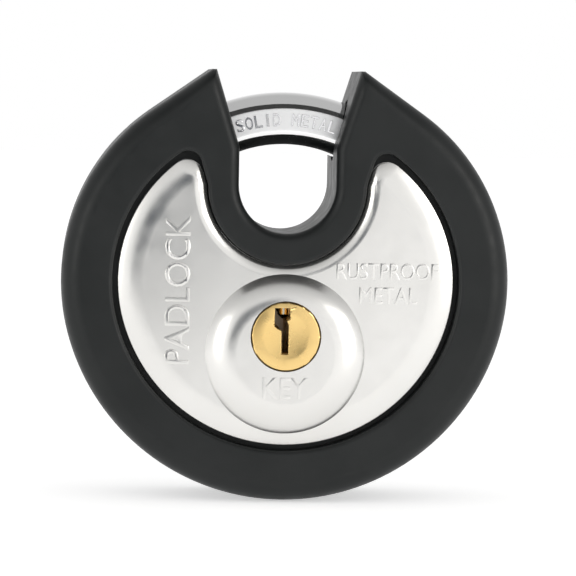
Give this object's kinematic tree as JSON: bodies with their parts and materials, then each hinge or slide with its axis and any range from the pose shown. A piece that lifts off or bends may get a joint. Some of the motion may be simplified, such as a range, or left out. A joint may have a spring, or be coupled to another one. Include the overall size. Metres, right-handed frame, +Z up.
{
  "type": "disc padlock",
  "caption": "Round steel disc padlock in a black rubber bumper jacket, with a curved shackle across a notch in its rim and a keyed brass cylinder.",
  "frame": {"origin": "the point the lock hangs from: the underside of the shackle at the middle of its span, midway between front and back", "axes": "+Z up as the lock hangs, +X to the right as seen from the front, +Y from the face to the back"},
  "size_m": [0.0816, 0.0278, 0.0785],
  "materials": {
    "stainless": "satin, smooth with soft reflections",
    "rubber": "satin moulded rubber with a fine grain",
    "chrome": "polished plating",
    "polished_brass": "polished, machined rings",
    "turned_brass": "plain turned",
    "nickel": "nickel plated",
    "spring_wire": "drawn wire",
    "zinc_casting": "matt die casting",
    "hardened_steel": "dark hardened steel"
  },
  "bodies": {
    "lock_body": {"front_shell": "stainless", "rear_shell": "stainless", "bumper_jacket": "rubber", "core_front": "zinc_casting", "core_rear": "zinc_casting", "core_rivets": "hardened_steel", "anti_drill_plate": "hardened_steel", "cylinder_housing": "turned_brass", "spring_cover": "turned_brass", "pin_spring_1": "spring_wire", "pin_spring_2": "spring_wire", "pin_spring_3": "spring_wire", "pin_spring_4": "spring_wire"},
    "shackle": {"shackle": "chrome", "drive_arm": "hardened_steel", "arm_rivets": "hardened_steel"},
    "plug": {"plug": "polished_brass", "crank_disc": "hardened_steel", "crank_pin": "hardened_steel", "crank_screws": "hardened_steel"},
    "key_pin_1": {"key_pin_1": "nickel"},
    "driver_pin_1": {"driver_pin_1": "nickel"},
    "key_pin_2": {"key_pin_2": "nickel"},
    "driver_pin_2": {"driver_pin_2": "nickel"},
    "key_pin_3": {"key_pin_3": "nickel"},
    "driver_pin_3": {"driver_pin_3": "nickel"},
    "key_pin_4": {"key_pin_4": "nickel"},
    "driver_pin_4": {"driver_pin_4": "nickel"}
  },
  "joints": [
    {"name": "shackle_turn", "type": "hinge", "parent": "lock_body", "child": "shackle", "pos_m": [0, 0, -0.0235], "axis": [0, 1, 0], "range_deg": [0, 56.3]},
    {"name": "plug_turn", "type": "hinge", "parent": "lock_body", "child": "plug", "pos_m": [0, 0, -0.0341], "axis": [0, 1, 0], "range_deg": [0, 140]},
    {"name": "key_pin_1_slide", "type": "slide", "parent": "plug", "child": "key_pin_1", "axis": [0, 0, 1], "range_m": [-0.00074, 0]},
    {"name": "driver_pin_1_slide", "type": "slide", "parent": "lock_body", "child": "driver_pin_1", "axis": [0, 0, 1], "range_m": [0, 0.0014], "stiffness_N_per_m": 60, "springref_m": -0.002, "deforming": ["pin_spring_1"]},
    {"name": "key_pin_2_slide", "type": "slide", "parent": "plug", "child": "key_pin_2", "axis": [0, 0, 1], "range_m": [-0.00164, 0]},
    {"name": "driver_pin_2_slide", "type": "slide", "parent": "lock_body", "child": "driver_pin_2", "axis": [0, 0, 1], "range_m": [0, 0.0014], "stiffness_N_per_m": 60, "springref_m": -0.002, "deforming": ["pin_spring_2"]},
    {"name": "key_pin_3_slide", "type": "slide", "parent": "plug", "child": "key_pin_3", "axis": [0, 0, 1], "range_m": [-0.00104, 0]},
    {"name": "driver_pin_3_slide", "type": "slide", "parent": "lock_body", "child": "driver_pin_3", "axis": [0, 0, 1], "range_m": [0, 0.0014], "stiffness_N_per_m": 60, "springref_m": -0.002, "deforming": ["pin_spring_3"]},
    {"name": "key_pin_4_slide", "type": "slide", "parent": "plug", "child": "key_pin_4", "axis": [0, 0, 1], "range_m": [-0.00194, 0]},
    {"name": "driver_pin_4_slide", "type": "slide", "parent": "lock_body", "child": "driver_pin_4", "axis": [0, 0, 1], "range_m": [0, 0.0014], "stiffness_N_per_m": 60, "springref_m": -0.002, "deforming": ["pin_spring_4"]}
  ],
  "couplings": [
    {"joint": "plug_turn", "follows": "shackle_turn", "ratio": 2.485}
  ]
}
